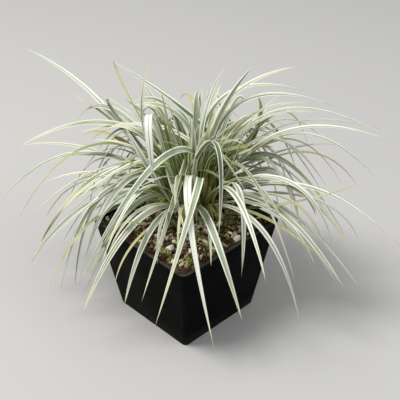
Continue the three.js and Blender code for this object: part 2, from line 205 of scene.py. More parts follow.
# The blades that stand out: half-way point and tip as compass angle, reach and height, then
# width, look, the share of the length from which the tip yellows, and the root if it has its own.
# Blades that bend sharply give their crest too, and the first point is then one lower down. One
# hangs over into the next tuft's sector, and ends with the angle of its own tuft. A few run
# differently from the part's own.
LEADERS = [
    ((181, 90, 112), (188, 153, 149), 4.6, "white", 1.0, (254, 11, 66)),
    ((183, 74, 108), (183, 132, 117), 2.4, "green", 0.7),
    ((194, 65, 127), (198, 54, 135), 3.6, "edged", 0.72, (123, 2, 67)),
    ((184, 76, 121), (180, 140, 81), 4.2, "grey", 0.8),
    ((227, 16, 132), (194, 101, 101), 2.8, "cream", 0.75, (48, 11, 90)),
    ((190, 65, 104), (190, 102, 95), 3.2, "yellow", 0.3),
    ((195, 88, 92), (195, 158, 75), 2.8, "cream", 0.8),
    ((193, 50, 139), (192, 65, 166), 2.8, "cream", 0.5, (203, 11, 87)),
    ((72, 15, 121), (189, 69, 163), 4.8, "deep", 1.0, (132, 11, 90)),
    ((199, 61, 122), (206, 138, 92), 4.8, "grey", 0.78, (115, 11, 84)),
    ((212, 82, 103), (212, 152, 51), 4.8, "grey", 0.9),
    ((213, 70, 112), (222, 126, 56), 3.4, "green", 0.6, (151, 10, 84)),
    ((206, 80, 83), (206, 130, 55), 3.6, "cream", 0.8),
    ((213, 70, 88), (213, 123, 45), 4.2, "white", 0.8),
    ((219, 65, 93), (228, 118, 25), 5.0, "edged", 0.62, (151, 10, 82)),
    ((232, 68, 81), (232, 117, 32), 4.6, "edged", 0.95),
    ((225, 59, 75), (225, 90, 40), 2.8, "cream", 0.8),
    ((245, 66, 77), (245, 104, 28), 3.2, "green", 0.6),
    ((243, 48, 98), (247, 83, 32), 4.8, "white", 0.95, (189, 11, 80)),
    ((235, 32, 128), (224, 28, 178), 2.4, "cream", 0.8),
    ((282, 48, 145), (284, 49, 122), 5.0, "pale", 0.9, (195, 12, 72), (268, 35, 154), 225),
    ((238, 14, 120), (240, 21, 162), 2.4, "yellow", 0.4),
    ((286, 39, 129), (253, 89, 33), 4.8, "edged", 0.95, (50, 11, 90)),
    ((270, 55, 82), (268, 100, 29), 5.0, "edged", 0.85),
    ((272, 50, 92), (275, 85, 73), 2.0, "cream", 0.7),
    ((284, 66, 84), (285, 95, 67), 1.6, "yellow", 0.4),
    ((286, 53, 85), (285, 87, 44), 4.2, "edged", 0.9),
    ((296, 16, 113), (295, 91, 56), 4.4, "deep", 0.86, (221, 11, 86)),
    ((295, 50, 96), (299, 78, 77), 2.2, "grey", 0.95),
    ((306, 44, 98), (308, 74, 77), 2.2, "green", 0.5),
    ((221, 19, 109), (312, 59, 84), 4.2, "edged", 0.9, (259, 11, 80)),
    ((315, 54, 90), (302, 84, 46), 5.2, "edged", 0.86, (300, 6, 78), (325, 27, 111)),
    ((313, 56, 91), (323, 90, 31), 5.2, "pale", 0.88, (325, 6, 78), (311, 27, 113)),
    ((327, 58, 92), (332, 106, 54), 5.0, "edged", 0.92),
    ((328, 45, 92), (330, 80, 80), 2.8, "yellow", 0.3),
    ((330, 52, 150), (328, 72, 93), 3.8, "deep", 0.88, (197, 11, 77)),
    ((352, 72, 92), (357, 104, 32), 3.8, "white", 0.95),
    ((350, 50, 112), (345, 64, 52), 4.6, "white", 0.9, (47, 9, 72)),
    ((12, 73, 116), (14, 108, 68), 3.4, "white", 1.0, (72, 12, 80)),
    ((14, 58, 93), (14, 117, 45), 5.4, "white", 0.97),
    ((10, 62, 92), (10, 98, 60), 3.2, "white", 1.0),
    ((8, 52, 86), (8, 99, 74), 3.0, "yellow", 0.3),
    ((14, 62, 93), (13, 117, 128), 3.2, "green", 0.5),
    ((18, 66, 98), (20, 97, 64), 3.2, "cream", 0.6),
    ((55, 14, 148), (55, 75, 154), 4.4, "white", 1.0),
    ((50, 26, 146), (50, 93, 145), 4.4, "edged", 1.0),
    ((46, 30, 134), (46, 77, 150), 2.6, "cream", 0.8),
    ((40, 34, 132), (41, 79, 147), 2.6, "cream", 0.8),
    ((40, 52, 134), (40, 120, 138), 3.2, "cream", 0.9),
    ((32, 50, 150), (32, 133, 137), 3.0, "white", 1.0),
    ((27, 56, 138), (27, 126, 145), 4.6, "white", 1.0),
    ((35, 62, 134), (35, 120, 109), 3.6, "white", 1.0),
    ((53, 63, 112), (55, 104, 110), 3.4, "edged", 0.75, (96, 10, 84)),
    ((32, 46, 131), (32, 90, 101), 4.6, "cream", 0.8),
    ((50, 59, 122), (50, 105, 83), 2.6, "yellow", 0.4),
    ((55, 74, 108), (55, 121, 73), 2.4, "yellow", 0.4),
    ((25, 77, 105), (25, 144, 72), 5.0, "white", 0.9),
    ((27, 64, 102), (26, 116, 54), 5.0, "white", 0.82),
    ((30, 80, 92), (30, 116, 63), 3.2, "white", 1.0),
    ((36, 15, 143), (36, 65, 181), 4.6, "cream", 0.9),
    ((25, 13, 130), (25, 39, 182), 5.0, "white", 1.0),
    ((50, 5, 128), (50, 20, 175), 4.2, "white", 1.0),
    ((50, 52, 140), (50, 78, 115), 3.2, "green", 0.6),
    ((50, 41, 126), (66, 44, 151), 3.8, "lime", 0.9, (71, 12, 70)),
    ((100, 6, 115), (100, 21, 158), 2.6, "white", 1.0),
    ((125, 10, 145), (125, 28, 133), 3.6, "grey", 0.8),
    ((256, 44, 82), (262, 80, 50), 4.0, "grey", 0.9, (209, 11, 70)),
    ((178, 30, 108), (180, 38, 128), 3.2, "green", 1.1, (168, 11, 72)),
    ((160, 38, 104), (160, 39, 123), 3.2, "green", 1.1, (158, 10, 72)),
    ((167, 34, 134), (185, 61, 129), 3.6, "edged", 0.8, (117, 10, 88)),
    ((181, 34, 133), (190, 45, 127), 2.4, "cream", 0.5, (143, 9, 88)),
    ((136, 32, 133), (145, 62, 125), 2.4, "yellow", 0.3, (122, 9, 86)),
    ((71, 27, 139), (60, 35, 146), 3.8, "white", 1.0, (95, 9, 75)),
    ((329, 38, 82), (324, 70, 76), 3.0, "grey", 0.9, (330, 8, 68)),
    ((176, 15, 136), (192, 55, 133), 3.6, "grey", 0.8, (51, 11, 90)),
]

# Blades among them that the picture shows and the part leaves out, given in the same way
ADDED = [
    ((271, 25, 130), (265, 31, 154), 3.2, "fresh", 1.3, (273, 14, 88)),
    ((273, 22, 129), (269, 26, 150), 3.4, "fresh", 1.3, (281, 13, 88)),
    ((324, 24, 130), (334, 28, 143), 3.0, "cream", 0.5, (306, 12, 90)),
    ((10, 10, 124), (30, 15, 147), 3.6, "fresh", 0.6, (350, 8, 92)),
    ((283, 24, 102), (279, 30, 121), 4.6, "grey", 1.1, (273, 13, 76)),
    ((269, 36, 112), (252, 48, 145), 5.4, "white", 1.2, (272, 18, 78)),
    ((264, 63, 54), (259, 65, 28), 1.3, "yellow", 0.3, (280, 14, 78), (276, 56, 86)),
]


# Seeded draws, the same as in the part's source
def seeded_draws(seed):
    state = seed & 0xFFFFFFFF

    def draw():
        nonlocal state
        state = (state + 0x6D2B79F5) & 0xFFFFFFFF
        mixed = ((state ^ (state >> 15)) * (state | 1)) & 0xFFFFFFFF
        turned = ((mixed ^ (mixed >> 7)) * (mixed | 61)) & 0xFFFFFFFF
        mixed ^= (mixed + turned) & 0xFFFFFFFF
        return ((mixed ^ (mixed >> 14)) & 0xFFFFFFFF) / 4294967296

    return draw


def lerp(low, high, share):
    return low + (high - low) * share


def ramp(value, low, high):
    return min(1, max(0, (value - low) / (high - low)))


# A drawn value that lies evenly about zero
def swing(draw, whole):
    return whole * (draw() - 0.5)


def place(angle, reach, height):
    compass = math.radians(angle)
    return np.array([
        CLUMP[0] + reach * math.cos(compass),
        CLUMP[1] + reach * math.sin(compass),
        height,
    ])


def crown_point(angle, scale, height):
    turn = math.radians(angle - CROWN_ANGLE)
    reach = scale / math.hypot(math.cos(turn) / CROWN_WIDTH, math.sin(turn) / CROWN_DEPTH)
    return place(angle, reach, height)


def crown_share(x, y):
    turn = math.radians(CROWN_ANGLE)
    dx = x - CLUMP[0]
    dy = y - CLUMP[1]
    across = dx * np.cos(turn) + dy * np.sin(turn)
    along = dy * np.cos(turn) - dx * np.sin(turn)
    return np.hypot(across / CROWN_WIDTH, along / CROWN_DEPTH)


# Where a blade runs

def sector_sides(angle):
    sides = []
    for sign in (-1, 1):
        turn = math.radians(angle + sign * SECTOR_ANGLE / 2)
        sides.append(np.array([sign * math.sin(turn), -sign * math.cos(turn)]))
    return sides


def bend_clear(points, sides, clearance):
    for side in sides:
        inset = (points[:, :2] - CLUMP) @ side
        bent = clearance + BEND_ZONE * np.log1p(np.exp((inset - clearance) / BEND_ZONE))
        points[:, :2] += (bent - inset)[:, None] * side
    return points


def hold_inside(points, sides):
    for _ in range(HOLD_ROUNDS):
        for side in sides:
            missing = np.maximum(0, SECTOR_INSET - (points[..., :2] - CLUMP) @ side)
            points[..., :2] += missing[..., None] * side
    return points


# A simple curve through the half-way point, or one that passes the crest a third of the way along
# and the first point at two thirds
def control_points(mid, tip, root_place=None, crest=None):
    angle, reach, _ = mid
    root_share = min(OUTERMOST_ROOT, 0.25 + 0.006 * reach)
    rise = min(HIGHEST_RISE, max(0, 0.25 * (reach - 25)))
    root = crown_point(angle, root_share, ROOT_HEIGHT + rise)
    if root_place:
        root = place(*root_place)
    half_way = place(*mid)
    end = place(*tip)
    if crest:
        top = place(*crest)
        rising = (-5 * root + 18 * top - 9 * half_way + 2 * end) / 6
        falling = (2 * root - 9 * top + 18 * half_way - 5 * end) / 6
        return root, rising, falling, end
    return root, 2 * half_way - 0.5 * (root + end), end


def bezier(controls, shares):
    t = shares[:, None]
    order = len(controls) - 1
    return sum(
        math.comb(order, step) * t**step * (1 - t) ** (order - step) * control
        for step, control in enumerate(controls)
    )


def curve_points(controls, shares):
    steps = [after - before for before, after in zip(controls, controls[1:])]
    ahead = bezier(steps, shares)
    return bezier(controls, shares), ahead / np.linalg.norm(ahead, axis=1, keepdims=True)


# A blade's control points, with the blade lifted and lengthened until it clears the pot's rim
def clear_of_pot(mid, tip, root_place=None, crest=None):
    mid, tip = list(mid), list(tip)
    shares = np.linspace(0, 1, 25)
    for _ in range(30):
        points, _ = curve_points(control_points(mid, tip, root_place, crest), shares)
        over = np.max(np.abs(points[:, :2]), axis=1) < POT_TOP / 2 + RIM_MARGIN
        outside = crown_share(points[:, 0], points[:, 1]) >= CROWN_KEPT
        if not np.any(over & outside & (points[:, 2] < RIM_CLEARANCE)):
            break
        mid[2] += RIM_LIFT
        tip[1] += RIM_LIFT
    return control_points(mid, tip, root_place, crest)


# How much of the turn to the picture a blade makes: less the farther it leans out sideways
def held_share(tip):
    angle, reach, _ = tip
    rightward = math.cos(math.radians(angle) - CAMERA_AZIMUTH)
    sideways = rightward
    if rightward < 0:
        sideways = LEFT_SHARE * ramp(-rightward, *LEFT_RAMP)
    return HELD_TO_PICTURE * (1 - sideways * ramp(reach, *FAR_RAMP))


# The level direction across a blade, from the one in which it runs
def level_across(ahead):
    level = np.stack([-ahead[..., 1], ahead[..., 0], 0 * ahead[..., 2]], axis=-1)
    return level / np.linalg.norm(level, axis=-1, keepdims=True)


# How far a blade turns about itself, at its root and at its tip, with its face held to the picture
def twist_to_picture(controls, share_held, roll):
    turns = []
    for share in TWIST_SHARES:
        _, (ahead,) = curve_points(controls, np.array([share]))
        level = level_across(ahead)
        wanted = np.cross(TO_CAMERA, ahead)
        turn = math.degrees(math.atan2(wanted @ np.cross(ahead, level), wanted @ level))
        held = share_held * ((turn + 90) % 180 - 90)
        turns.append(max(-MOST_TWIST, min(MOST_TWIST, held)))
    if abs(turns[0] - turns[1]) > MOST_TWIST:
        turns[0] = turns[1]
    return turns[0], turns[1] + roll


def angle_between(a, b):
    return abs((a - b + 540) % 360 - 180)


def any_look(draw):
    chance = draw()
    return next(look for look, limit in LOOK_SHARES if chance < limit)


# Angles spread over a tuft's sector, drawn one by one
def leanings(draw, angle, number, start, spread, width):
    for turn in range(number):
        share = (GOLDEN_SHARE * (turn + spread * draw()) + start) % 1
        yield angle + width * SECTOR_ANGLE * (share - 0.5)


# The rows of a list that belong to a tuft
def listed_blades_of(rows, draw, angle):
    blades = []
    for mid, tip, width, look, fade, *more in rows:
        root_place, crest, home = more + [None] * (3 - len(more))
        if angle_between(home or tip[0], angle) <= SECTOR_ANGLE / 2:
            controls = clear_of_pot(mid, tip, root_place, crest)
            twist = twist_to_picture(controls, held_share(tip), swing(draw, LEADER_ROLL))
            blades.append(Blade(controls, width, twist, look, fade, OUTER, False))
    return blades


# A tuft's blades, first those that stand out and then the seeded ones
def blades_of(order, angle, counts):
    draw = seeded_draws(BLADE_SEED + order)
    look_draw = seeded_draws(LOOK_SEED + order)
    blades = listed_blades_of(LEADERS, draw, angle)
    for (start, mid_reach, mid_height, tip_reach, tip_height), count in zip(HABITS, counts):
        for leaning in leanings(draw, angle, count, start, 0.6, 0.94):
            turn = swing(draw, SEEDED_TURN)
            mid = (leaning, lerp(*mid_reach, draw()), lerp(*mid_height, draw()))
            tip_reached = lerp(*tip_reach, draw())
            tip = (leaning + turn, tip_reached, max(LOWEST_TIP, lerp(*tip_height, draw())))
            width = BLADE_WIDTH * (0.6 + 0.5 * draw())
            roll = swing(draw, SEEDED_ROLL)
            fade = lerp(*SEEDED_FADE, look_draw())
            look = any_look(look_draw)
            controls = clear_of_pot(mid, tip)
            blades.append(Blade(controls, width, (0, roll), look, fade, INNER, True))
    return blades


def drawn_place(draw, angle, spread, reach, height):
    return angle + swing(draw, spread), lerp(*reach, draw()), lerp(*height, draw())


# Finer blades between them, which stay inside the tuft's form
def fine_blades_of(order, angle, counts, fullness):
    draw = seeded_draws(FINE_SEED + order)
    blades = []
    for habit, count, fewer in zip(HABITS, counts, FINE_FEWER):
        start, mid_reach, mid_height, tip_reach, tip_height = habit
        wanted = round(fullness * count / fewer)
        for leaning in leanings(draw, angle, wanted, start + FINE_START, 0.6, 0.9):
            mid_reached = lerp(*mid_reach, draw()) * FINE_MID_REACH
            mid = (leaning, mid_reached, lerp(*mid_height, draw()) - FINE_BELOW)
            tip_angle, reached, high = drawn_place(draw, leaning, FINE_TURN, tip_reach, tip_height)
            tip = (tip_angle, reached * FINE_TIP_REACH, high)
            width = lerp(*FINE_WIDTH, draw())
            twist = (0, swing(draw, FINE_ROLL))
            fade = lerp(*FINE_FADE, draw())
            look = any_look(draw)
            blades.append(Blade(clear_of_pot(mid, tip), width, twist, look, fade, INNER, True))
    return blades


# Fine blades that lean from one side of the crown across to the other
def crossing_blades_of(order, angle, counts, fullness):
    draw = seeded_draws(CROSSING_SEED + order)
    blades = []
    for _ in range(round(fullness * sum(counts) / 2)):
        root = drawn_place(draw, angle, *CROSSING_ROOT)
        mid = drawn_place(draw, angle, *CROSSING_MID)
        tip_angle, beyond, tip_height = drawn_place(draw, mid[0], *CROSSING_TIP)
        tip = (tip_angle, mid[1] + beyond, tip_height)
        width = lerp(*CROSSING_WIDTH, draw())
        roll = swing(draw, FINE_ROLL)
        fade = lerp(*FINE_FADE, draw())
        controls = clear_of_pot(mid, tip, root)
        twist = twist_to_picture(controls, CROSSING_HELD * held_share(tip), roll)
        blades.append(Blade(controls, width, twist, any_look(draw), fade, INNER, False))
    return blades


# Meshes

class Build:
    """Gathers points, faces, marks on the points and a bake map, and makes one object."""

    def __init__(self):
        self.points = []
        self.faces = []
        self.maps = []
        self.marks = {}
        self.count = 0

    def add(self, points, faces, maps=(), **marks):
        points = np.asarray(points, float).reshape(-1, 3)
        for name, value in marks.items():
            self.marks.setdefault(name, []).append(np.broadcast_to(value, points.shape))
        self.points.append(points)
        self.faces.extend([tuple(int(v) + self.count for v in face) for face in faces])
        self.maps.extend(maps)
        self.count += len(points)

    def make(self, name, material, smooth=True):
        mesh = bpy.data.meshes.new(name)
        points = np.concatenate(self.points) / METRE
        mesh.from_pydata(points.tolist(), [], self.faces)
        for mark, values in self.marks.items():
            layer = mesh.attributes.new(mark, "FLOAT_VECTOR", "POINT")
            layer.data.foreach_set("vector", np.concatenate(values).astype(np.float32).ravel())
        if self.maps:
            layer = mesh.uv_layers.new(name="OFBake")
            layer.data.foreach_set("uv", np.array(self.maps, np.float32).ravel())
        mesh.polygons.foreach_set("use_smooth", [smooth] * len(mesh.polygons))
        mesh.materials.append(material)
        return linked(name, mesh)


def linked(name, data):
    made = bpy.data.objects.new(name, data)
    bpy.context.scene.collection.objects.link(made)
    return made


def ride_as(piece, slot_name, *nodes):
    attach(piece, "root")
    if nodes:
        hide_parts(*nodes)
    return piece


# The upper face of a blade from edge to edge, then the under face back again: across and how
# deep the channel lies there
SECTION_ACROSS = np.array([-1.0, -0.7, -0.35, 0.0, 0.35, 0.7, 1.0, 0.55, 0.0, -0.55])
SECTION_DEPTH = np.array([0.0, 0.42, 0.8, 1.0, 0.8, 0.42, 0.0, 0.62, 1.0, 0.62])
CORNERS = len(SECTION_ACROSS)
UPPER = 7
LEAF_THICKNESS = 0.3
CHANNEL = 0.25
THIN_BELOW = 0.8

# A blade's width: at its foot, how soon it is full, how it tapers, and where its point starts
FOOT_WIDTH = 0.34
WIDENING = 2.2
TAPER = 0.88
TAPER_START = 0.5
TAPER_POWER = 1.8
POINT_START = 0.93
LEAST_HALF_WIDTH = 0.04

# The bake map: a blade's strip from root to tip, the share of its width that the upper face
# takes, how much of the strip is used, and where the ends of the blade lie
MAP_HEIGHTS = (0.01, 0.99)
MAP_UPPER = 0.62
STRIP_USED = 0.94
END_HEIGHTS = (0.004, 0.996)
END_SIZE = (0.3, 0.003)


def width_at(share, width):
    from_root = np.minimum(1, FOOT_WIDTH + WIDENING * share)
    past = np.maximum(0, share - TAPER_START) / (1 - TAPER_START)
    return width * from_root * (1 - TAPER * past**TAPER_POWER)


def blade_points(blade, shares, sides):
    centre, ahead = curve_points(blade.controls, shares)
    half = width_at(shares, blade.width) / 2
    half *= 1 - np.maximum(0, (shares - POINT_START) / (1 - POINT_START)) ** 2
    half = np.maximum(half, LEAST_HALF_WIDTH)
    if sides:
        centre = bend_clear(centre, sides, half + 2 * SECTOR_INSET)
    level = level_across(ahead)
    lift = np.cross(ahead, level)
    turn = np.radians(lerp(*blade.twist, shares))[:, None]
    across = level * np.cos(turn) + lift * np.sin(turn)
    under = np.cross(across, ahead)

    thick = np.where(np.arange(CORNERS) >= UPPER, LEAF_THICKNESS, 0.0)
    thick = thick[None, :] * np.minimum(1, half / THIN_BELOW)[:, None]
    deep = half[:, None] * SECTION_DEPTH * CHANNEL + thick
    wide = half[:, None] * SECTION_ACROSS
    points = centre[:, None, :]
    points = points + across[:, None, :] * wide[:, :, None] + under[:, None, :] * deep[:, :, None]
    return hold_inside(points, sides) if sides else points


# Faces from ring to ring of a tube with so many points round it, and over its two ends
def tube_faces(steps, number):
    faces = []
    for ring in range(steps):
        for corner in range(number):
            a = ring * number + corner
            b = ring * number + (corner + 1) % number
            faces.append((a, b, b + number, a + number))
    foot = range(number - 1, -1, -1)
    return faces + [foot, range(steps * number, (steps + 1) * number)]


# The bake map of such a tube: a strip for its sides, and a small oval for each end
def tube_map(around, up, strip, end_heights, end_size):
    maps = []
    for foot, top in zip(up, up[1:]):
        for left, right in zip(around, around[1:]):
            maps += [(left, foot), (right, foot), (right, top), (left, top)]
    number = len(around) - 1
    middle, wide = (strip[0] + strip[1]) / 2, end_size[0] * (strip[1] - strip[0])
    for order, height in zip((range(number - 1, -1, -1), range(number)), end_heights):
        for step in order:
            spin = 2 * math.pi * step / number
            maps.append((middle + wide * math.cos(spin), height + end_size[1] * math.sin(spin)))
    return maps


def add_blade(build, blade, sides, chance, strip):
    shares = np.linspace(0, 1, blade.rings + 1)
    points = blade_points(blade, shares, sides if blade.held else [])
    under_map = np.linspace(MAP_UPPER, 1, CORNERS - UPPER + 2)[1:]
    around = lerp(*strip, np.concatenate([np.linspace(0, MAP_UPPER, UPPER), under_map]))
    up = lerp(*MAP_HEIGHTS, shares)
    margin, green, gold = LOOKS[blade.look]
    marks = np.zeros((blade.rings + 1, CORNERS, 3))
    marks[:, :, 0] = SECTION_ACROSS
    marks[:, :, 1] = shares[:, None]
    marks[:, :, 2] = chance
    build.add(
        points,
        tube_faces(blade.rings, CORNERS),
        tube_map(around, up, strip, END_HEIGHTS, END_SIZE),
        place=marks.reshape(-1, 3),
        look=(margin + MARGIN_SPREAD * (chance - 0.5), green, gold),
        fade=(blade.fade, blade.inner, 0.0),
    )


def foot_leaf(controls, width, twist, look):
    return Blade(controls, width, twist, look, NO_FADE, INNER, True, FOOT_RINGS)


# Old leaf bases and sheaths round the crown, and dry leaves at its foot
def sheaths_of(order, angle):
    draw = seeded_draws(SHEATH_SEED + order)
    made = []
    for leaning in leanings(draw, angle, SHEATHS, 0, 0.5, 0.92):
        within = lerp(*SHEATH_ROOT, draw())
        root = crown_point(leaning, within, SHEATH_HEIGHTS[0])
        bow = crown_point(leaning, within + 0.1, SHEATH_HEIGHTS[1])
        reached = within + 0.25 + 0.3 * draw()
        end = crown_point(leaning, reached, 88 + 18 * (1 - within) + 8 * draw())
        width = lerp(*SHEATH_WIDTH, draw())
        made.append(foot_leaf((root, bow, end), width, (0, 0), "sheath"))
    for leaning in leanings(draw, angle, DRY_LEAVES, 0.2, 0.5, 0.92):
        root = crown_point(leaning, lerp(*DRY_ROOT, draw()), DRY_HEIGHTS[0])
        bow = crown_point(leaning, 1.05, DRY_HEIGHTS[1] + 10 * draw())
        reached = 1.5 + 0.6 * draw()
        end = crown_point(leaning, reached, RIM_CLEARANCE + 2 * draw())
        width = lerp(*DRY_WIDTH, draw())
        twist = (0, swing(draw, LEADER_ROLL))
        made.append(foot_leaf((root, bow, end), width, twist, "litter"))
    return made


# The dark heart of a tuft, which its blades stand out of: heights and shares of the crown
HEART_LEVELS = [(61, 0.9), (74, 0.88), (82, 0.74), (90, 0.5), (95, 0.22)]
HEART_STEPS = 12
HEART_NOTCH = 0.08
HEART_LOOK = (0.05, 1.0, 0.3)
HEART_END_HEIGHTS = (0.008, 0.96)
HEART_END_SIZE = (0.4, 0.006)


def add_heart(build, angle, sides, strip):
    rings = []
    for height, scale in HEART_LEVELS:
        ring = [place(angle, 0.6, height)]
        for step in range(-HEART_STEPS // 2, HEART_STEPS // 2 + 1):
            leaning = angle + step * SECTOR_ANGLE / HEART_STEPS
            ring.append(crown_point(leaning, scale * (1 - HEART_NOTCH * (step % 2)), height))
        rings.append(hold_inside(np.array(ring), sides))
    points = np.array(rings)
    levels, number, _ = points.shape
    around = np.linspace(*strip, number + 1)
    up = 0.02 + 0.9 * np.arange(levels) / levels
    marks = np.zeros((levels, number, 3))
    marks[:, :, 0] = np.linspace(-1, 1, number)
    marks[:, :, 1] = np.linspace(0, 0.3, levels)[:, None]
    marks[:, :, 2] = 0.5
    build.add(
        points,
        tube_faces(levels - 1, number),
        tube_map(around, up, strip, HEART_END_HEIGHTS, HEART_END_SIZE),
        place=marks.reshape(-1, 3),
        look=HEART_LOOK,
        fade=(NO_FADE, INNER, 0.0),
    )


def make_tuft(order, name, angle, counts, fullness, material):
    sides = sector_sides(angle)
    build = Build()
    chance = seeded_draws(CHANCE_SEED + order)
    blades = blades_of(order, angle, counts)
    blades += listed_blades_of(ADDED, seeded_draws(ADDED_SEED + order), angle)
    blades += fine_blades_of(order, angle, counts, fullness)
    blades += crossing_blades_of(order, angle, counts, fullness)
    blades += sheaths_of(order, angle)
    width = 1 / (len(blades) + 1)
    strips = [(number * width, (number + STRIP_USED) * width) for number in range(len(blades) + 1)]
    for blade, strip in zip(blades, strips):
        add_blade(build, blade, sides, chance(), strip)
    add_heart(build, angle, sides, strips[-1])
    return ride_as(build.make(name + "_blades", material), "leaf", name)


# Materials

class Nodes:
    """Builds a material's nodes round one Principled shader."""

    def __init__(self, name):
        self.material = bpy.data.materials.new(name)
        self.material.use_nodes = True
        self.tree = self.material.node_tree
        self.tree.nodes.clear()
        self.shader = self.tree.nodes.new("ShaderNodeBsdfPrincipled")
        output = self.tree.nodes.new("ShaderNodeOutputMaterial")
        self.link(self.shader.outputs["BSDF"], output.inputs["Surface"])

    def link(self, source, target):
        self.tree.links.new(source, target)

    def feed(self, target, value):
        if isinstance(value, bpy.types.NodeSocket):
            self.link(value, target)
        elif isinstance(value, tuple) and len(value) == 3 and target.type == "RGBA":
            target.default_value = (*value, 1)
        else:
            target.default_value = value

    def fill(self, node, **inputs):
        for name, value in inputs.items():
            self.feed(node.inputs[name.replace("_", " ")], value)

    def set(self, **inputs):
        self.fill(self.shader, **inputs)

    def node(self, kind, *values, **settings):
        made = self.tree.nodes.new("ShaderNode" + kind)
        for name, setting in settings.items():
            setattr(made, name, setting)
        for target, value in zip(made.inputs, values):
            self.feed(target, value)
        return made

    def maths(self, operation, *values, clamp=False):
        return self.node("Math", *values, operation=operation, use_clamp=clamp).outputs[0]

    plus = partialmethod(maths, "ADD")
    minus = partialmethod(maths, "SUBTRACT")
    times = partialmethod(maths, "MULTIPLY")
    scaled = partialmethod(maths, "MULTIPLY_ADD")
    larger = partialmethod(maths, "MAXIMUM")

    def smooth(self, value, low, high, start=0.0, end=1.0):
        values = (value, low, high, start, end)
        return self.node("MapRange", *values, interpolation_type="SMOOTHSTEP").outputs[0]

    def mix(self, share, first, second):
        node = self.node("Mix", data_type="RGBA")
        for place_in_node, value in ((0, share), (6, first), (7, second)):
            self.feed(node.inputs[place_in_node], value)
        return node.outputs[2]

    def mark(self, name):
        return self.parts(self.node("Attribute", attribute_name=name).outputs["Vector"])

    def parts(self, vector):
        return self.node("SeparateXYZ", vector).outputs

    def vector(self, *values):
        return self.node("CombineXYZ", *values).outputs[0]

    def where(self):
        return self.node("TexCoord").outputs["Object"]

    def noise(self, vector, scale, detail=3.0, roughness=0.55):
        node = self.node("TexNoise")
        self.fill(node, Vector=vector, Scale=scale, Detail=detail, Roughness=roughness)
        return node.outputs[0]

    def bump(self, height, strength, distance):
        node = self.node("Bump")
        self.fill(node, Height=height, Strength=strength, Distance=distance)
        self.set(Normal=node.outputs[0])


WHITE = (0.86, 0.88, 0.79)
GREY_GREEN = (0.285, 0.35, 0.24)
WARM_GREEN = (0.25, 0.32, 0.125)
DEEP_GREEN = (0.045, 0.082, 0.014)
FRESH_GREEN = (0.17, 0.23, 0.04)
# The greener colour of a leaf's lower part, partly its own and partly painted shade, in its middle
# and at its margins
LOW_GREEN_AND_SHADE = (0.10, 0.155, 0.013)
LOW_EDGE_AND_SHADE = (0.62, 0.68, 0.27)
CREAM = (0.80, 0.77, 0.54)
STRAW = (0.50, 0.46, 0.14)
TAN = (0.26, 0.20, 0.09)
# Dark olive at a leaf's foot: partly the sheath's own colour, partly painted shade
OLIVE_AND_SHADE = (0.075, 0.095, 0.012)


# The middle of a leaf: grey or warm green, deeper or fresher in some, with dark and pale lines
def leaf_centre(n, chance, green, bands, lines):
    warmth = n.maths("FRACT", n.times(chance, 7.3))
    centre = n.mix(warmth, GREY_GREEN, WARM_GREEN)
    fresh = n.smooth(green, 0.74, 0.84, 0.0, 0.8)
    deep = n.mix(fresh, DEEP_GREEN, FRESH_GREEN)
    centre = n.mix(n.smooth(n.plus(green, bands), 0.62, 1.2), centre, deep)
    centre = n.mix(n.smooth(lines, 0.34, 0.47, 0.45, 0.0), centre, DEEP_GREEN)
    pale_lines = n.smooth(lines, 0.50, 0.64, 0.0, n.scaled(fresh, -0.5, 0.45))
    pale_bands = n.smooth(bands, 0.60, 0.66, 0.0, n.scaled(fresh, -0.7, 0.75))
    return n.mix(pale_bands, n.mix(pale_lines, centre, WHITE), WHITE)


# How far a leaf takes the greener, darker colour of its lower part, which is partly its own colour
# and partly painted shade, and the painted shade of the clump's heart, where the blades shade each
# other
def leaf_lowness_and_shade(n, along, inner, green):
    # Greener towards the foot, and for longer on inner blades: partly the leaf's own colour,
    # partly painted shade
    low = n.smooth(along, 0.10, n.scaled(inner, 0.28, 0.2), 0.88, 0.0)
    x, y, z = n.parts(n.where())
    dx, dy = n.minus(x, CLUMP[0] / METRE), n.minus(y, CLUMP[1] / METRE)
    reach = n.maths("SQRT", n.plus(n.times(dx, dx), n.times(dy, dy)))
    # Painted shade: darker green low down in the middle of the clump, for inner blades and greener
    # ones
    painted_heart_shade = n.times(n.smooth(z, 0.108, 0.155, 0.9, 0.0), n.smooth(reach, 0.028, 0.06, 1.0, 0.0))
    return n.larger(low, n.times(painted_heart_shade, n.larger(inner, n.times(green, 0.6))))


# Yellow towards the tip, and all over a leaf that is yellowing
def leaf_yellowed(n, colour, white, along, fade, gold, bands, patches):
    so_far = n.plus(along, n.scaled(patches, 0.3, -0.15))
    tip = n.smooth(so_far, n.minus(fade, 0.12), n.plus(fade, 0.14))
    yellowing = n.times(gold, n.smooth(n.plus(bands, white), 0.45, 1.3, 0.5, 1.0))
    ripe = n.scaled(patches, 0.9, n.minus(gold, 0.35))
    yellow = n.mix(n.smooth(ripe, 0.1, 0.75), CREAM, STRAW)
    return n.mix(n.larger(yellowing, n.times(tip, 0.7)), colour, yellow)


